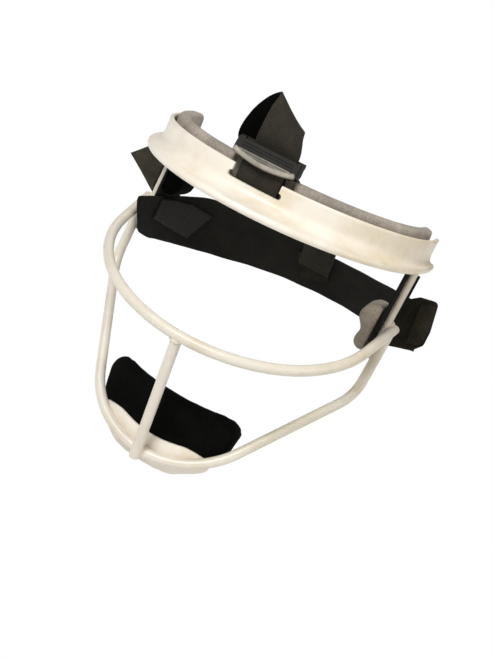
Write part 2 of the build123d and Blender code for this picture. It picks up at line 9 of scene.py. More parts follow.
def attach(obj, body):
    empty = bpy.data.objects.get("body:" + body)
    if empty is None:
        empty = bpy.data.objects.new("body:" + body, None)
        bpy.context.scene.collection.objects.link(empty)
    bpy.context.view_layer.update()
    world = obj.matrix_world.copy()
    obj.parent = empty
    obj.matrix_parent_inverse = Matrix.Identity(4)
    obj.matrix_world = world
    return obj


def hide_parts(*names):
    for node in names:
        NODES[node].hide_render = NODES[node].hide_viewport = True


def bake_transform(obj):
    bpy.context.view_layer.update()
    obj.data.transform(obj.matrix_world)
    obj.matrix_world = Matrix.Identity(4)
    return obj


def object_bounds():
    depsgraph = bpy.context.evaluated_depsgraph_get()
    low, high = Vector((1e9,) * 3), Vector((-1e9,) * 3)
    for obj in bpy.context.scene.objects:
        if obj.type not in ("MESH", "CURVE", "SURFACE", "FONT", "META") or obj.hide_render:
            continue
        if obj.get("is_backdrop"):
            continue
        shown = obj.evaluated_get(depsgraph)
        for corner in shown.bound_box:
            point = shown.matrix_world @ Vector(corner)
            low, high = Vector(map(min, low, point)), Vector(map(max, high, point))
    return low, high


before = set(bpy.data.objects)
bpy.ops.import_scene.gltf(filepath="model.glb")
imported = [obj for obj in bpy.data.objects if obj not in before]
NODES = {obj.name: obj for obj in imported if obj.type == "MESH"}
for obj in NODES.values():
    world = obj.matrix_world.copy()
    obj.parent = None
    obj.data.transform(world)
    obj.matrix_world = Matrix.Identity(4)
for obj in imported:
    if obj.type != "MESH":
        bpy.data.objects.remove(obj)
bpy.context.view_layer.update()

bl_info = {
    "name": "Fielder's face mask finish",
    "version": (1, 0, 0),
    "blender": (4, 5, 0),
    "location": "View3D > Sidebar > Face mask",
    "description": "Dresses the packed face mask: enamel, mouldings, foam pads, webbing and studio",
    "category": "Object",
}

MM = 0.001

# The cloth that blows the pads up: its pressure, stiffness and frames, and how full a pad counts as.
PAD_PRESSURE, PAD_BENDING, PAD_FRAMES, PAD_FILL = 4.0, 8.0, 20, 0.9

# Millimetres: a stitch's width, height and gap to the next, and a weld's ripple and its depth.
STITCH_WIDTH, STITCH_HEIGHT, STITCH_GAP = 0.84, 0.68, 1.0
WELD_RIPPLE, WELD_DEPTH = 2.2, 0.35
STRAP_WAVE = 16  # millimetres from wave to wave along a limp strap
UNHIGHLIGHTED = -200  # a highlighted front so far ahead that no piece reaches it, so no highlight is painted


# ---------------------------------------------------------------- colour and shader helpers

def linear(hex_colour):
    """An sRGB hex colour as linear red, green, blue and alpha."""
    channels = [int(hex_colour[i : i + 2], 16) / 255 for i in (0, 2, 4)]
    return tuple(c / 12.92 if c <= 0.04045 else ((c + 0.055) / 1.055) ** 2.4 for c in channels) + (1.0,)


def add(tree, kind, inputs=None, stops=(), **settings):
    """One shader node: its settings, its inputs as values or sockets to link, and a colour ramp's stops."""
    made = tree.nodes.new(kind)
    for name, value in settings.items():
        setattr(made, name, value)
    for name, value in (inputs or {}).items():
        if isinstance(value, bpy.types.NodeSocket):
            tree.links.new(value, made.inputs[name])
        else:
            made.inputs[name].default_value = value
    for index, (position, tint) in enumerate(stops):
        made.color_ramp.elements[index].position = position
        made.color_ramp.elements[index].color = tint
    return made


def new_material(name, **shader):
    """A material with an empty tree, one Principled shader and its output."""
    material = bpy.data.materials.new(name)
    material.use_nodes = True
    tree = material.node_tree
    tree.nodes.clear()
    bsdf = add(tree, "ShaderNodeBsdfPrincipled", shader)
    add(tree, "ShaderNodeOutputMaterial", {"Surface": bsdf.outputs[0]})
    return material, tree, bsdf


def dress(objects, material):
    """The material on every listed object, in place of what it has."""
    for piece in objects:
        piece.data.materials.clear()
        piece.data.materials.append(material)


def enamel(name, body, shade, grain_mm, painted_shade_end):
    """A hard gloss coat or moulding: an even warm white, clouded, and darkened tan towards its left end by
    painted shade.
    """
    material, tree, bsdf = new_material(name, IOR=1.5)
    place = add(tree, "ShaderNodeTexCoord").outputs["Object"]
    cloud = add(tree, "ShaderNodeTexNoise", {
        "Vector": place, "Scale": 1 / (30 * MM), "Detail": 5.0, "Roughness": 0.6,
    })
    across = add(tree, "ShaderNodeSeparateXYZ", {"Vector": place}).outputs["X"]
    # Painted shade: the tone drifts towards tan along X, darkest at the left end.
    painted_left_shade = add(tree, "ShaderNodeMapRange", {
        "Value": across, "From Min": 30 * MM, "From Max": 100 * MM, "To Min": -0.06, "To Max": painted_shade_end,
    }).outputs[0]
    cloud_and_painted_shade = add(tree, "ShaderNodeMath", {0: cloud.outputs["Fac"], 1: painted_left_shade}, operation="ADD").outputs[0]
    tone = add(tree, "ShaderNodeValToRGB", {"Fac": cloud_and_painted_shade}, stops=((0.42, body), (0.85, shade)))
    tree.links.new(tone.outputs["Color"], bsdf.inputs["Base Color"])
    handled = add(tree, "ShaderNodeTexNoise", {"Vector": place, "Scale": 1 / (6 * MM), "Detail": 6.0})
    rough = add(tree, "ShaderNodeMapRange", {
        "Value": handled.outputs["Fac"], "From Min": 0.3, "From Max": 0.7, "To Min": 0.34, "To Max": 0.44,
    })
    tree.links.new(rough.outputs[0], bsdf.inputs["Roughness"])
    peel = add(tree, "ShaderNodeTexNoise", {"Vector": place, "Scale": 1 / (grain_mm * MM), "Detail": 2.0})
    bump = add(tree, "ShaderNodeBump", {
        "Height": peel.outputs["Fac"], "Strength": 0.03, "Distance": 0.01 * MM,
    })
    tree.links.new(bump.outputs[0], bsdf.inputs["Normal"])
    bsdf.inputs["Coat Weight"].default_value = 0.15
    bsdf.inputs["Coat Roughness"].default_value = 0.25
    return material


def woven(name, dark, light, pick_mm, rib_mm, fuzz):
    """Webbing: warp ribs along the strap, offset row by row, read from a UV map in millimetres."""
    material, tree, bsdf = new_material(name, Roughness=0.85, IOR=1.45)
    across_along = add(tree, "ShaderNodeUVMap").outputs[0]
    turned = add(tree, "ShaderNodeMapping", {"Vector": across_along, "Rotation": (0, 0, pi / 2)}).outputs[0]
    weave = add(tree, "ShaderNodeTexBrick", {
        "Vector": turned, "Color1": (1, 1, 1, 1), "Color2": (0.75, 0.75, 0.75, 1), "Mortar": (0, 0, 0, 1),
        "Scale": 1.0, "Mortar Size": 0.16 * rib_mm, "Mortar Smooth": 1.0,
        "Brick Width": pick_mm, "Row Height": rib_mm,
    })
    lint = add(tree, "ShaderNodeTexNoise", {"Vector": across_along, "Scale": 1 / 0.45, "Detail": 4.0})
    wear = add(tree, "ShaderNodeTexNoise", {"Vector": across_along, "Scale": 1 / 16, "Detail": 3.0})
    height = add(tree, "ShaderNodeMath", {0: lint.outputs["Fac"], 1: fuzz}, operation="MULTIPLY").outputs[0]
    height = add(tree, "ShaderNodeMath", {0: weave.outputs["Color"], 1: height}, operation="ADD").outputs[0]
    worn = add(tree, "ShaderNodeMath", {0: height, 1: wear.outputs["Fac"]}, operation="MULTIPLY").outputs[0]
    tone = add(tree, "ShaderNodeValToRGB", {"Fac": worn}, stops=((0.12, dark), (0.85, light)))
    tree.links.new(tone.outputs["Color"], bsdf.inputs["Base Color"])
    bump = add(tree, "ShaderNodeBump", {"Height": height, "Strength": 0.7, "Distance": 0.25 * MM})
    tree.links.new(bump.outputs[0], bsdf.inputs["Normal"])
    bsdf.inputs["Sheen Weight"].default_value = 0.03
    bsdf.inputs["Sheen Roughness"].default_value = 0.5
    bsdf.inputs["Specular IOR Level"].default_value = 0.2
    return material


def brushed(name, dark, light, nap_mm, sheen):
    """Brushed loop fabric laminated to foam: a short nap that catches light at its edges."""
    material, tree, bsdf = new_material(name, Roughness=0.95, IOR=1.4)
    place = add(tree, "ShaderNodeTexCoord").outputs["Object"]
    nap = add(tree, "ShaderNodeTexNoise", {
        "Vector": place, "Scale": 1 / (nap_mm * MM), "Detail": 5.0, "Roughness": 0.65,
    })
    patch = add(tree, "ShaderNodeTexNoise", {"Vector": place, "Scale": 1 / (14 * MM), "Detail": 4.0})
    rubbed = {0: nap.outputs["Fac"], 1: patch.outputs["Fac"]}
    tone = add(tree, "ShaderNodeMath", rubbed, operation="MULTIPLY").outputs[0]
    tint = add(tree, "ShaderNodeValToRGB", {"Fac": tone}, stops=((0.14, dark), (0.42, light)))
    tree.links.new(tint.outputs["Color"], bsdf.inputs["Base Color"])
    bump = add(tree, "ShaderNodeBump", {"Height": tone, "Strength": 0.55, "Distance": 0.5 * MM})
    tree.links.new(bump.outputs[0], bsdf.inputs["Normal"])
    bsdf.inputs["Sheen Weight"].default_value = sheen
    bsdf.inputs["Sheen Roughness"].default_value = 0.4
    bsdf.inputs["Specular IOR Level"].default_value = 0.1
    return material


def hooked(name, dark, light, pitch_mm):
    """Hook tape: rows of tiny stiff hooks on a woven ground, each hook's top painted paler as a glint."""
    material, tree, bsdf = new_material(name, Roughness=0.6, IOR=1.5)
    place = add(tree, "ShaderNodeTexCoord").outputs["Object"]
    hooks = add(tree, "ShaderNodeTexVoronoi", {
        "Vector": place, "Scale": 1 / (pitch_mm * MM), "Randomness": 0.35,
    })
    distance = hooks.outputs["Distance"]
    # Each hook's top is painted paler: a painted glint.
    tone = add(tree, "ShaderNodeValToRGB", {"Fac": distance}, stops=((0.1, light), (0.5, dark)))
    tree.links.new(tone.outputs["Color"], bsdf.inputs["Base Color"])
    bump = add(tree, "ShaderNodeBump", {
        "Height": distance, "Strength": 0.8, "Distance": 0.4 * MM,
    }, invert=True)
    tree.links.new(bump.outputs[0], bsdf.inputs["Normal"])
    bsdf.inputs["Specular IOR Level"].default_value = 0.25
    return material


def moulded(name, dark, light, rubbed, highlight_front_mm):
    """Moulded acetal or polyethylene: satin with a fine grain, with a painted highlight along its front."""
    material, tree, bsdf = new_material(name, IOR=1.48)
    place = add(tree, "ShaderNodeTexCoord").outputs["Object"]
    grain = add(tree, "ShaderNodeTexNoise", {"Vector": place, "Scale": 1 / (0.5 * MM), "Detail": 3.0})
    cloud = add(tree, "ShaderNodeTexNoise", {"Vector": place, "Scale": 1 / (7 * MM), "Detail": 3.0})
    clouded = cloud.outputs["Fac"]
    body = add(tree, "ShaderNodeValToRGB", {"Fac": clouded}, stops=((0.35, dark), (0.75, light)))
    front = add(tree, "ShaderNodeSeparateXYZ", {"Vector": place}).outputs["Y"]
    # Painted highlight: the foremost 0.8 mm of the front is mixed towards the paler colour, in patches.
    painted_highlight = add(tree, "ShaderNodeMapRange", {
        "Value": front, "From Min": (highlight_front_mm + 0.8) * MM, "From Max": highlight_front_mm * MM,
        "To Max": 1.5,
    }).outputs[0]
    patchy_painted_highlight = add(tree, "ShaderNodeMath", {0: painted_highlight, 1: clouded}, operation="MULTIPLY").outputs[0]
    mixed = add(tree, "ShaderNodeMix", {"Factor": patchy_painted_highlight}, data_type="RGBA")
    tree.links.new(body.outputs["Color"], mixed.inputs["A"])
    # The paler colour mixed in here is the painted highlight's.
    mixed.inputs["B"].default_value = rubbed
    tree.links.new(mixed.outputs["Result"], bsdf.inputs["Base Color"])
    rough = add(tree, "ShaderNodeMapRange", {"Value": grain.outputs["Fac"], "To Min": 0.5, "To Max": 0.75})
    tree.links.new(rough.outputs[0], bsdf.inputs["Roughness"])
    bump = add(tree, "ShaderNodeBump", {
        "Height": grain.outputs["Fac"], "Strength": 0.2, "Distance": 0.06 * MM,
    })
    tree.links.new(bump.outputs[0], bsdf.inputs["Normal"])
    bsdf.inputs["Specular IOR Level"].default_value = 0.25
    return material


# ---------------------------------------------------------------- mesh helpers

def along(points, share):
    """A point on the smooth curve through the points, at a share of the way along them."""
    chords = [(b - a).length for a, b in zip(points, points[1:])]
    left = share * sum(chords)
    index = 0
    while index < len(chords) - 1 and left > chords[index]:
        left -= chords[index]
        index += 1
    a, b = points[index], points[index + 1]
    before = points[index - 1] if index else 2 * a - b
    after = points[index + 2] if index + 2 < len(points) else 2 * b - a
    span = chords[index]
    leave = (b - before) * span / max((a - before).length + span, 1e-9)
    arrive = (after - a) * span / max((after - b).length + span, 1e-9)
    t = min(max(left / span, 0), 1)
    start, end = (1 + 2 * t) * (1 - t) ** 2, t * t * (3 - 2 * t)
    return start * a + t * (1 - t) ** 2 * leave + end * b + t * t * (t - 1) * arrive


def length_of(points, steps=200):
    """The length of that curve."""
    run = [along(points, i / steps) for i in range(steps + 1)]
    return sum((b - a).length for a, b in zip(run, run[1:]))


def new_piece(name, bm, material, body):
    """A finished mesh object that rides on a body, or on none."""
    mesh = bpy.data.meshes.new(name)
    bm.to_mesh(mesh)
    bm.free()
    piece = bpy.data.objects.new(name, mesh)
    bpy.context.scene.collection.objects.link(piece)
    mesh.materials.append(material)
    for face in mesh.polygons:
        face.use_smooth = True
    if body:
        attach(piece, body)
    return piece


def modifier(piece, kind, **settings):
    """One more modifier on a piece, with its settings."""
    made = piece.modifiers.new(kind.title(), kind)
    for name, value in settings.items():
        setattr(made, name, value)
    return made


def pinch(from_end, corner):
    """How much of a rounded corner is cut away, this far from the strap's end."""
    return corner - (corner**2 - max(corner - from_end, 0) ** 2) ** 0.5 if corner else 0.0


def strap(name, edges, thickness, material, body, step, ripple=0.0, corner=0.0, inside=None):
    """Flat webbing between two edge curves in millimetres, with a UV map in millimetres."""
    one, other = [[Vector(p) * MM for p in edge] for edge in edges]
    length = (length_of(one) + length_of(other)) / 2
    width = sum((along(one, i / 8) - along(other, i / 8)).length for i in range(9)) / 9
    rows, columns = max(int(length / MM / step), 4), max(int(width / MM / step), 4)
    bm = bmesh.new()
    bmesh.ops.create_grid(bm, x_segments=columns, y_segments=rows, size=0.5)
    uv = bm.loops.layers.uv.new("UVMap")
    shares = {v: (v.co.x + 0.5, v.co.y + 0.5) for v in bm.verts}
    for face in bm.faces:
        for loop in face.loops:
            across, down = shares[loop.vert]
            loop[uv].uv = (across * width / MM, down * length / MM)
    for vert, (across, down) in shares.items():
        cut = pinch(down * length, corner * MM)
        kept = 0.5 + (across - 0.5) * (1 - 2 * cut / width)
        vert.co = along(one, down).lerp(along(other, down), kept)
    bm.normal_update()
    normals = {v: v.normal.copy() for v in bm.verts}
    for vert in bm.verts:
        wave = noise.noise(vert.co / (STRAP_WAVE * MM)) * ripple * MM
        vert.co += normals[vert] * wave
    piece = new_piece(name, bm, material, body)
    modifier(piece, "SOLIDIFY", thickness=thickness * MM, offset=0.0, material_offset=1 if inside else 0)
    if inside:
        piece.data.materials.append(inside)
    edge = 0.3 * thickness * MM
    modifier(piece, "BEVEL", width=edge, segments=2, limit_method="ANGLE", angle_limit=radians(40))
    return piece, (width, length)


def copied(node):
    """A CAD node's mesh as a welded bmesh."""
    bm = bmesh.new()
    bm.from_mesh(NODES[node].data)
    bmesh.ops.remove_doubles(bm, verts=bm.verts, dist=1e-5)
    bmesh.ops.recalc_face_normals(bm, faces=bm.faces)
    return bm


def evaluated(piece):
    """The piece's mesh as its modifiers leave it."""
    graph = bpy.context.evaluated_depsgraph_get()
    return bpy.data.meshes.new_from_object(piece.evaluated_get(graph))


def settle(piece):
    """The modifiers made real, and the mesh shaded smooth."""
    piece.data = evaluated(piece)
    piece.modifiers.clear()
    for face in piece.data.polygons:
        face.use_smooth = True


def softened(name, node, material, body, voxel, rounding, shrink=0.0):
    """A soft part with its cut edges rounded off: the node's form, remeshed, smoothed and drawn in."""
    piece = new_piece(name, copied(node), material, body)
    modifier(piece, "REMESH", mode="VOXEL", voxel_size=voxel * MM)
    modifier(piece, "SMOOTH", factor=0.5, iterations=rounding)
    if shrink:
        modifier(piece, "DISPLACE", strength=-shrink * MM, mid_level=0.0)
    settle(piece)
    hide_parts(node)
    return piece


def foam(name, node, material, voxel, rounding, shrink, cap):
    """A foam pad in its cover: the node's form, softened and blown up a little as cloth."""
    piece = softened(name, node, material, "mask_frame", voxel, rounding, shrink)
    inflate(piece, cap * MM)
    modifier(piece, "SMOOTH", factor=0.5, iterations=4)
    settle(piece)
    modifier(piece, "SUBSURF", levels=1, render_levels=1)


def inflate(piece, cap):
    """Cloth under pressure for a few frames, with each point's travel capped."""
    rest = [v.co.copy() for v in piece.data.vertices]
    cloth = modifier(piece, "CLOTH")
    cloth.settings.use_pressure = True
    cloth.settings.uniform_pressure_force = PAD_PRESSURE
    cloth.settings.effector_weights.gravity = 0
    cloth.settings.quality = 5
    cloth.settings.bending_stiffness = PAD_BENDING
    cloth.point_cache.frame_start, cloth.point_cache.frame_end = 1, PAD_FRAMES
    for frame_number in range(1, PAD_FRAMES + 1):
        bpy.context.scene.frame_set(frame_number)
    swollen = evaluated(piece)
    piece.modifiers.clear()
    for vert, start, end in zip(piece.data.vertices, rest, swollen.vertices):
        move = end.co - start
        vert.co = start + move * min(1.0, cap / max(move.length, 1e-9))
    bpy.data.meshes.remove(swollen)
    bpy.context.scene.frame_set(1)


def bead(name, centre, radii, axis, material):
    """A weld bead: a squat lump with the ripple of a hand-laid weld."""
    bm = bmesh.new()
    bmesh.ops.create_icosphere(bm, subdivisions=4, radius=1.0)
    turn = Vector((0, 0, 1)).rotation_difference(Vector(axis)).to_matrix().to_4x4()
    place = Matrix.Translation(Vector(centre) * MM) @ turn @ Matrix.Diagonal((*(Vector(radii) * MM), 1))
    bmesh.ops.transform(bm, matrix=place, verts=bm.verts)
    bm.normal_update()
    for vert in bm.verts:
        vert.co += vert.normal * noise.noise(vert.co / (WELD_RIPPLE * MM)) * WELD_DEPTH * MM
    new_piece(name, bm, material, "mask_frame")


def stitches(name, edges, route, lift, material, body, length):
    """Thread stitches on a strap: along a route of (across, down) shares, lifted off its middle surface."""
    one, other = [[Vector(p) * MM for p in edge] for edge in edges]

    def on_strap(share):
        across, down = along([Vector(p) for p in route], share)
        middle = along(one, down).lerp(along(other, down), across)
        side = (along(other, down) - along(one, down)).normalized()
        ahead = (along(one, min(down + 0.01, 1)) - along(one, max(down - 0.01, 0))).normalized()
        normal = ahead.cross(side).normalized()
        return middle + normal * lift * MM, normal

    samples = [on_strap(i / 60)[0] for i in range(61)]
    total = sum((q - p).length for p, q in zip(samples, samples[1:]))
    count = max(int(total / ((length + STITCH_GAP) * MM)), 1)
    form = Matrix.Diagonal((length * MM / 2, STITCH_WIDTH / 2 * MM, STITCH_HEIGHT / 2 * MM, 1))
    bm = bmesh.new()
    for i in range(count):
        middle, normal = on_strap((i + 0.5) / count)
        tangent = (on_strap((i + 0.7) / count)[0] - on_strap((i + 0.3) / count)[0]).normalized()
        turn = Matrix((tangent, normal.cross(tangent), normal)).transposed().to_4x4()
        place = Matrix.Translation(middle) @ turn @ form
        bmesh.ops.create_icosphere(bm, subdivisions=1, radius=1.0, matrix=place)
    new_piece(name, bm, material, body)


# ---------------------------------------------------------------- the mask's own sizes, in millimetres

BAR_Y, PLATE_TOP = -85.2, 98.1  # the strap bar, and the plate's upper edge
ROD_X = 87.9  # the side rods' feet, left and right of the middle
WEB_T, BAND_T = 1.6, 2.0  # thickness of the webbing and of the elastic
RUN_WIDTH = 25.0  # width of the top strap's webbing
LOOP_R, LOOP_LOW, LOOP_HIGH = 2.5, 86.0, 105.5  # the webbing loop's bends, and the bars' heights in them
LOCK_FRONT = -92.45  # the ladder lock's foremost face, where a highlight is painted pale
CUP_EDGE, CUP_DRAWN = -70.3, 0.45  # the level above which the chin cup is drawn down, and to what share

# Each weld bead's centre and radii, and the direction of its wire.
WELDS = {
    "weld_rod_left": ((89.9, -6.9, 37.4), (2.8, 2.8, 5.4), (0, 0.2, 1)),
    "weld_rod_right": ((-89.9, -6.9, 37.4), (2.6, 2.6, 5.0), (0, 0.2, 1)),
    "weld_centre_top": ((0, -106.2, 1.6), (4.3, 4.3, 2.4), (0, -0.2, 1)),
    "weld_centre_foot": ((0, -90.6, -79.4), (4.0, 3.0, 4.6), (0, 0.2, 1)),
}

# Edges of the elastic band, from its front flap round the head, its ends placed from the rods' feet.
FLAP_LOWER = [(6.1, -25, 18.5), (6.3, -8, 13.0), (7.7, 4, 11.4), (13.4, 20, 9.5)]
FLAP_UPPER = [(6.1, -43, 44.2), (6.3, -18, 43.4), (7.5, -4, 43.6), (13.4, 13, 46.0)]
BACK_LOWER = [
    (-60, 39, 9.0), (-43, 58, 8.6), (-24, 77, 8.5), (-3, 91, 8.5), (32, 97, 9.0), (66, 93, 9.0),
]
BACK_UPPER = [
    (-61, 31, 49.0), (-45, 48, 46.5), (-26, 64, 43.5), (-4, 76, 42.0), (30, 82, 41.5), (62, 79, 42.0),
]
FAR_LOWER = [(9.1, 80, 10.0), (17.1, 62, 13.0), (19.1, 40, 20.0), (18.6, 13.1, 29.5)]
FAR_UPPER = [(5.1, 70, 44.0), (15.1, 56, 46.5), (18.1, 38, 50.5), (18.1, 13.1, 54.0)]
TAIL_LOWER = [
    (9.7, 14.5, 24), (-0.1, 13.0, 30.5), (-12.1, 11.0, 38.5), (-24.1, 10.2, 47.0), (-36.3, 10, 55.0),
]
TAIL_UPPER = [
    (10.5, 12.8, 41), (2.4, 12.4, 52.0), (-3.6, 11.4, 59.5), (-10.1, 10.6, 67.0), (-17.9, 10.4, 72.2),
]

# Edges of the top strap: the fold above the lock, from the strap bar and the plate's top, and the run.
FOLD_ONE = [
    (-10.6, -1.0, 11.6), (-10.4, -1.5, 14.9), (-10.2, -2.6, 18.0), (-9.9, -3.2, 21.0), (-9.3, -2.4, 32.9),
    (-9.2, 1.6, 41.0), (-15.2, 3.4, 36.2), (-21.4, 5.4, 25.6), (-24.4, 8.4, 12.5), (-19.5, 11.4, 5.5),
    (-12.8, 17.0, 4.3), (-11.5, 30.0, -0.9),
]
FOLD_OTHER = [
    (15.2, -1.0, 11.6), (15.2, -1.5, 14.6), (15.2, -2.6, 17.2), (14.8, -3.0, 19.6), (13.2, -2.2, 24.2),
    (11.6, 0.2, 27.4), (9.9, 2.6, 27.6), (8.4, 4.6, 25.3), (2.6, 7.0, 19.3), (0.8, 9.1, 11.5),
    (6.0, 11.4, 6.5), (12.2, 17.0, 3.7), (13.5, 30.0, -0.9),
]
RUN_AHEAD = (-12.0, 20.0, -4.5)
RUN_LEFT = [
    (-9.8, -30, 87.5), (-5.0, 14, 78.0), (-1.5, 48, 64.0), (0.5, 68.5, 50.0), (0.5, 75.2, 40.0),
    (0.5, 81.2, 26.5),
]


def by_rod(side, points):
    """Points placed from the left (1) or right (-1) rod's foot, moved to it."""
    return [(side * ROD_X + x, y, z) for x, y, z in points]


def from_bar(points):
    """Points placed from the strap bar and the plate's top, moved to them."""
    return [(x, BAR_Y + y, PLATE_TOP + z) for x, y, z in points]


# ---------------------------------------------------------------- settings

def colour(label, about, hex_colour):
    """A colour that the panel shows."""
    return FloatVectorProperty(
        name=label, description=about, size=3, min=0, max=1, subtype="COLOR", default=linear(hex_colour)[:3]
    )


def size(label, about, default_mm):
    """A length that the panel shows."""
    return FloatProperty(name=label, description=about, default=default_mm * MM, min=0, unit="LENGTH")


class MaskColours(bpy.types.PropertyGroup):
    """The finishes that a team would choose"""
    enamel: colour("Wire enamel", "Enamel on the steel wires", "E4DCCD")
    moulding: colour("Mouldings", "Forehead plate and chin cup", "F2EADC")
    lining: colour("Forehead pad", "Brushed fabric of the forehead pad", "B0A598")
    # Painted light: the left temple pad's pale grey-brown stands for its lit foam.
    foam: colour("Temple foam", "Bare foam of the left temple pad", "B3A797")
    # The right temple pad takes this black as painted shade.
    chin: colour("Black pads", "Brushed fabric of the chin pad and the right temple pad", "040403")
    elastic: colour("Elastic", "Rear strap and its tail", "191711")
    webbing: colour("Webbing", "Top strap and its loop", "332F27")
    buckle: colour("Buckle", "Moulded ladder lock", "24211B")


class MaskSizes(bpy.types.PropertyGroup):
    """Sizes of the soft parts' finish"""
    foam_cell: size("Foam mesh", "Size of the pads' mesh", 2.0)
    swell: size("Swell", "Most that a pad's skin may bulge", 2.0)
    ripple: size("Strap ripple", "How far the elastic waves out of its plane", 0.8)
    rib: size("Elastic rib", "Distance between the elastic's warp ribs", 1.3)
    stitch: size("Stitch", "Length of a stitch", 2.6)


def chosen(name):
    """A chosen colour with alpha."""
    return (*getattr(bpy.context.scene.mask_colours, name), 1.0)


def millimetres(name):
    """A chosen size."""
    return getattr(bpy.context.scene.mask_sizes, name) / MM


def toned(name, factor):
    """A chosen colour, darker or lighter."""
    return (*[min(c * factor, 1.0) for c in chosen(name)[:3]], 1.0)


# ---------------------------------------------------------------- the pieces

class DressWires(bpy.types.Operator):
    """Enamel on the eye bar, jaw bar, centre bar and rods, and the beads where they are welded"""
    bl_idname = "face_mask.wires"
    bl_label = "Wires"

    def execute(self, context):
        # Powder-coated steel wire: a smooth, warm gloss white, clouded a little towards tan, with a faint
        # painted shade towards its left end.
        body, shade = chosen("enamel"), linear("CDBF9F")
        coat = enamel("powder_coated_steel", body, shade, grain_mm=2.4, painted_shade_end=0.05)
        wires = ["eye_bar", "jaw_bar", "centre_bar", "side_rod_left", "side_rod_right"]
        dress([NODES[name] for name in wires], coat)
        # Welds under the same enamel, where it lies thin and has stained tan.
        body, shade = linear("E6DAC2"), linear("B99D70")
        stained = enamel("stained_enamel", body, shade, grain_mm=2.4, painted_shade_end=0.0)
        for name, (centre, radii, axis) in WELDS.items():
            bead(name, centre, radii, axis, stained)
        return {"FINISHED"}


class DressMouldings(bpy.types.Operator):
    """White moulded forehead plate and chin cup, and the hook tape inside the plate"""
    bl_idname = "face_mask.mouldings"
    bl_label = "Plate and chin cup"

    def execute(self, context):
        # Injection-moulded polypropylene: soft gloss, a cloudy warm white, turned tan at its left end by
        # painted shade.
        body, shade = chosen("moulding"), linear("D6C299")
        gloss = enamel("moulded_polypropylene", body, shade, grain_mm=1.6, painted_shade_end=0.15)
        dress([NODES["forehead_plate"]], gloss)
        # The cup's upper edge lies close along the wire, so above its level it is drawn down.
        bm = copied("chin_cup")
        pivot = Matrix.Translation((0, 0, CUP_EDGE * MM))
        squeeze = pivot @ Matrix.Diagonal((1, 1, CUP_DRAWN, 1)) @ pivot.inverted()
        edge = [vert for vert in bm.verts if vert.co.z > CUP_EDGE * MM]
        bmesh.ops.transform(bm, matrix=squeeze, verts=edge)
        cup = new_piece("moulded_chin_cup", bm, gloss, "mask_frame")
        modifier(cup, "EDGE_SPLIT", split_angle=radians(35))
        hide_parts("chin_cup")
        # Nylon hook tape: rows of stiff hooks 1.2 mm apart, with painted glints on their tops.
        hooks = hooked("nylon_hook_tape", toned("elastic", 0.8), toned("webbing", 1.8), pitch_mm=1.2)
        dress([NODES["forehead_hook_tape"]], hooks)
        return {"FINISHED"}


class DressPads(bpy.types.Operator):
    """Foam pads at the forehead, chin and temples, and the temple pads' stiff backing"""
    bl_idname = "face_mask.pads"
    bl_label = "Pads"

    def execute(self, context):
        cell, swell = millimetres("foam_cell"), millimetres("swell")
        # Brushed nylon loop on foam: a dull nap, greyed where it has rubbed.
        dark, light = toned("lining", 0.6), toned("lining", 1.2)
        lining = brushed("brushed_loop_on_foam", dark, light, nap_mm=1.2, sheen=0.15)
        foam("forehead_cushion", "forehead_pad", lining, cell, rounding=5, shrink=0.5, cap=0.9)
        # Black brushed loop on foam: almost black, with a velvety edge.
        dark, light = toned("chin", 0.6), toned("chin", 3.0)
        black = brushed("black_brushed_loop", dark, light, nap_mm=1.4, sheen=0.015)
        foam("chin_cushion", "chin_pad", black, cell, rounding=22, shrink=0.0, cap=swell)
        # Open-cell polyurethane foam, with open pores just large enough to see: the left temple pad painted
        # pale grey-brown as light falling on it.
        dark, light = toned("foam", 0.6), toned("foam", 1.25)
        cells = brushed("foam_painted_lit", dark, light, nap_mm=0.9, sheen=0.1)
        foam("temple_cushion_left", "temple_pad_left", cells, 1.2, rounding=4, shrink=0.3, cap=0.6)
        # The right temple pad takes the black fabric instead, as painted shade: a shaded copy of the left
        # pad.
        foam("temple_cushion_right", "temple_pad_right", black, 1.2, rounding=4, shrink=0.3, cap=0.6)
        # Moulded polyethylene backing: matt black with a fine grain.
        dark, light = toned("elastic", 0.25), toned("elastic", 0.6)
        backing = moulded("moulded_polyethylene", dark, light, toned("elastic", 2), UNHIGHLIGHTED)
        dress([NODES["temple_backing_left"], NODES["temple_backing_right"]], backing)
        return {"FINISHED"}


class DressBuckle(bpy.types.Operator):
    """The ladder lock, its webbing loop and the top strap's fold"""
    bl_idname = "face_mask.buckle"
    bl_label = "Buckle"

    def execute(self, context):
        # Moulded acetal: satin brown-black, with a painted highlight along its lip.
        dark, light = toned("buckle", 0.7), toned("buckle", 1.3)
        lock = moulded("moulded_acetal", dark, light, linear("BDB5A7"), LOCK_FRONT)
        dress([NODES["ladder_lock"]], lock)
        # Polypropylene webbing: coarse ribs along the strap, slightly fuzzy.
        dark, light = toned("webbing", 0.4), toned("webbing", 1.5)
        web = woven("polypropylene_webbing", dark, light, pick_mm=2.2, rib_mm=1.1, fuzz=0.45)
        # The webbing's inner face is black loop pile, put there as painted shade inside the fold.
        pile_painted_fold_shade = brushed("black_pile_painted_fold_shade", toned("chin", 0.6), toned("chin", 2.0), nap_mm=1.0, sheen=0.0)
        edges = from_bar(FOLD_ONE), from_bar(FOLD_OTHER)
        fold, flat = strap("folded_top_strap", edges, WEB_T, web, "buckle", step=1.2, inside=pile_painted_fold_shade)
        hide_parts("top_strap_fold")
        half_turn = [pi * k / 8 - pi / 2 for k in range(9)]
        over = [(BAR_Y + LOOP_R * sin(a), LOOP_HIGH + LOOP_R * cos(a)) for a in half_turn]
        under = [(BAR_Y - LOOP_R * sin(a), LOOP_LOW - LOOP_R * cos(a)) for a in half_turn]
        ring = [*over, *under, over[0]]
        edges = [[(x, y, z) for y, z in ring] for x in (-RUN_WIDTH / 2, RUN_WIDTH / 2)]
        loop, flat = strap("webbing_loop", edges, WEB_T, web, "buckle_loop", step=1.2)
        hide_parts("anchor_loop")
        return {"FINISHED"}


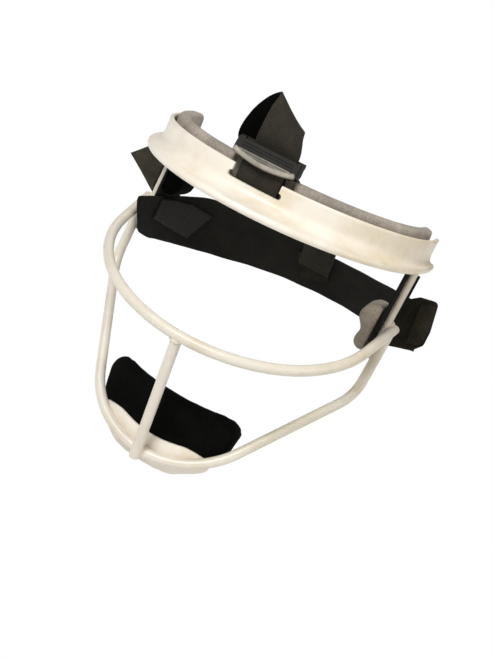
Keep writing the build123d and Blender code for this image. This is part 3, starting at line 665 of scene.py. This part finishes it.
class DressRearStrap(bpy.types.Operator):
    """The elastic rear strap with its tab, doubled end, patch and tail"""
    bl_idname = "face_mask.rear_strap"
    bl_label = "Rear strap"

    def execute(self, context):
        # Knitted elastic: fine ribs along the strap, a dull black with brown lights.
        rib = millimetres("rib")
        dark, light = toned("elastic", 0.3), toned("elastic", 1.45)
        elastic = woven("knitted_elastic", dark, light, pick_mm=2.6, rib_mm=rib, fuzz=0.5)
        # Nylon hook strip: a stiff ground with rows of hooks, a shade browner than the elastic, with
        # painted glints on the hooks' tops.
        hooks = hooked("nylon_hook_strip", toned("elastic", 0.7), toned("webbing", 1.0), pitch_mm=1.0)
        # Folded elastic seen on its sewn pieces: the same yarn with its ribs pressed flat.
        dark, light = toned("elastic", 1.1), toned("elastic", 3.6)
        pressed = brushed("pressed_elastic", dark, light, nap_mm=1.0, sheen=0.01)
        # Bonded nylon thread: smooth and faintly glossy, a little paler than the strap.
        dark, light = toned("webbing", 0.9), toned("webbing", 1.9)
        thread = brushed("bonded_nylon_thread", dark, light, nap_mm=0.6, sheen=0.1)
        edges = (
            by_rod(-1, FLAP_LOWER) + BACK_LOWER + by_rod(1, FAR_LOWER),
            by_rod(-1, FLAP_UPPER) + BACK_UPPER + by_rod(1, FAR_UPPER),
        )
        band, flat = strap(
            "elastic_band", edges, BAND_T, elastic, "head_strap",
            step=2.0, ripple=millimetres("ripple"), corner=4,
        )
        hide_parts("rear_strap")
        # One row of stitches just inside the flap's free end.
        hem, lift = [(0.08, 0.012), (0.92, 0.012)], BAND_T / 2 + 0.1
        stitches("flap_hem", edges, hem, lift, thread, "head_strap", millimetres("stitch"))
        end = softened("doubled_end", "strap_end", pressed, "head_strap", voxel=0.6, rounding=4)
        softened("end_patch", "hook_patch", pressed, "head_strap", voxel=0.5, rounding=4)
        softened("aslant_hook_tab", "hook_tab", hooks, "head_strap", voxel=0.5, rounding=3)
        softened("top_strap_keeper", "strap_keeper", pressed, "head_strap", voxel=0.6, rounding=4)
        # The tail's face has been pulled through the rods often: the same elastic, rubbed grey.
        dark, light = toned("elastic", 1.2), toned("webbing", 2.2)
        rubbed = woven("rubbed_elastic", dark, light, pick_mm=2.6, rib_mm=rib, fuzz=0.6)
        edges = by_rod(-1, TAIL_LOWER), by_rod(-1, TAIL_UPPER)
        tail, flat = strap("elastic_tail", edges, WEB_T, rubbed, "tail", step=1.5, ripple=0.5)
        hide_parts("strap_tail")
        return {"FINISHED"}


class DressTopStrap(bpy.types.Operator):
    """The top strap's run over the crown"""
    bl_idname = "face_mask.top_strap"
    bl_label = "Top strap"

    def execute(self, context):
        # Polypropylene webbing once more, a shade darker between its ribs.
        dark, light = toned("webbing", 0.35), toned("webbing", 1.5)
        web = woven("polypropylene_strap", dark, light, pick_mm=2.2, rib_mm=1.1, fuzz=0.45)
        near = from_bar([RUN_AHEAD]) + RUN_LEFT
        far = [(x + RUN_WIDTH, y, z) for x, y, z in near]
        run, flat = strap("crown_strap", (near, far), WEB_T, web, None, step=1.8)
        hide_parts("top_strap_run")
        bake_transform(run)
        return {"FINISHED"}


# ---------------------------------------------------------------- the stage

# Each lamp's place and width in metres, and its power in watts.
LAMPS = {
    "key_lamp": ((-0.25, -1.0, 1.1), 0.5, 16.0),
    "side_lamp": ((0.95, -0.35, 0.75), 0.9, 5.0),
    "back_lamp": ((-0.2, 0.9, 1.0), 0.9, 2.5),
}
ROOM_LIGHT = 0.19  # of a white surface's full brightness
FLOOR_SIZE, FLOOR_GAP = 4.0, 4.0  # metres from middle to edge, and millimetres below the mask

# The camera: its place in millimetres, the three directions of its view, and its lens.
CAMERA_AT = (124.8, -474.9, 157.5)
CAMERA_RIGHT = (0.845, 0.353, 0.401)
CAMERA_DOWN = (0.483, -0.185, -0.856)
CAMERA_AHEAD = (-0.228, 0.917, -0.327)
CAMERA_LENS, CAMERA_SENSOR = 42.23, 36


def paper():
    """White paper floor: full white to the camera, while its pale face throws light back on the mask."""
    material, tree, bsdf = new_material("white_paper", Roughness=0.9)
    bsdf.inputs["Base Color"].default_value = (0.93, 0.93, 0.93, 1)
    path = add(tree, "ShaderNodeLightPath")
    rays = {0: path.outputs["Is Camera Ray"], 1: path.outputs["Is Glossy Ray"]}
    seen = add(tree, "ShaderNodeMath", rays, operation="MAXIMUM").outputs[0]
    glow = add(tree, "ShaderNodeEmission", {"Color": (1, 1, 1, 1), "Strength": 1.0})
    mix = add(tree, "ShaderNodeMixShader", {0: seen, 1: bsdf.outputs[0], 2: glow.outputs[0]})
    output = next(node for node in tree.nodes if node.type == "OUTPUT_MATERIAL")
    tree.links.new(mix.outputs[0], output.inputs["Surface"])
    return material


def lamp(name, place, width, watts):
    """A square softbox aimed at the mask's middle."""
    data = bpy.data.lights.new(name, "AREA")
    data.size = width
    data.energy = watts
    light = bpy.data.objects.new(name, data)
    light.location = place
    light.rotation_euler = (-Vector(place)).to_track_quat("-Z", "Y").to_euler()
    bpy.context.scene.collection.objects.link(light)


def light_world(scene):
    """A white room: full white to the camera, plain soft light for the rest."""
    world = bpy.data.worlds.new("white_room")
    scene.world = world
    world.use_nodes = True
    tree = world.node_tree
    tree.nodes.clear()
    path = add(tree, "ShaderNodeLightPath")
    seen = path.outputs["Is Camera Ray"]
    strength = add(tree, "ShaderNodeMapRange", {"Value": seen, "To Min": ROOM_LIGHT, "To Max": 1.0})
    light = add(tree, "ShaderNodeBackground", {"Color": (1, 1, 1, 1), "Strength": strength.outputs[0]})
    add(tree, "ShaderNodeOutputWorld", {"Surface": light.outputs[0]})


def aim_camera(scene):
    """A hand-held camera, rolled, a little above the mask and to its left."""
    right, down, ahead = Vector(CAMERA_RIGHT), Vector(CAMERA_DOWN), Vector(CAMERA_AHEAD)
    data = bpy.data.cameras.new("camera")
    data.lens = CAMERA_LENS
    data.sensor_width = CAMERA_SENSOR
    camera = bpy.data.objects.new("camera", data)
    scene.collection.objects.link(camera)
    camera.rotation_euler = Matrix((right, -down, -ahead)).transposed().to_euler()
    camera.location = Vector(CAMERA_AT) * MM
    scene.camera = camera


class SetStage(bpy.types.Operator):
    """White floor, soft lamps and the camera"""
    bl_idname = "face_mask.stage"
    bl_label = "Stage"

    def execute(self, context):
        scene = context.scene
        scene.view_settings.view_transform = "Standard"
        low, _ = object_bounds()
        bm = bmesh.new()
        bmesh.ops.create_grid(bm, x_segments=2, y_segments=2, size=FLOOR_SIZE)
        bmesh.ops.translate(bm, vec=(0, 0, low.z - FLOOR_GAP * MM), verts=bm.verts)
        mesh = bpy.data.meshes.new("floor")
        bm.to_mesh(mesh)
        bm.free()
        floor = bpy.data.objects.new("floor", mesh)
        scene.collection.objects.link(floor)
        mesh.materials.append(paper())
        floor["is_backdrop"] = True
        for name, (place, width, watts) in LAMPS.items():
            lamp(name, place, width, watts)
        light_world(scene)
        aim_camera(scene)
        return {"FINISHED"}


class MaskPanel(bpy.types.Panel):
    """Buttons for the mask's pieces, with their colours and sizes"""
    bl_idname = "VIEW3D_PT_face_mask"
    bl_label = "Face mask"
    bl_space_type = "VIEW_3D"
    bl_region_type = "UI"
    bl_category = "Face mask"

    def draw(self, context):
        layout = self.layout
        for operator in OPERATORS:
            layout.operator(operator.bl_idname)
        for group in (context.scene.mask_colours, context.scene.mask_sizes):
            for name in group.bl_rna.properties.keys():
                if name not in ("rna_type", "name"):
                    layout.prop(group, name)


OPERATORS = (DressWires, DressMouldings, DressPads, DressBuckle, DressRearStrap, DressTopStrap, SetStage)
CLASSES = (MaskColours, MaskSizes, *OPERATORS, MaskPanel)


def register():
    for made in CLASSES:
        bpy.utils.register_class(made)
    bpy.types.Scene.mask_colours = PointerProperty(type=MaskColours)
    bpy.types.Scene.mask_sizes = PointerProperty(type=MaskSizes)


def unregister():
    del bpy.types.Scene.mask_sizes
    del bpy.types.Scene.mask_colours
    for made in reversed(CLASSES):
        bpy.utils.unregister_class(made)


def main():
    register()
    for operator in OPERATORS:
        group, name = operator.bl_idname.split(".")
        getattr(getattr(bpy.ops, group), name)()


if __name__ == "__main__":
    main()
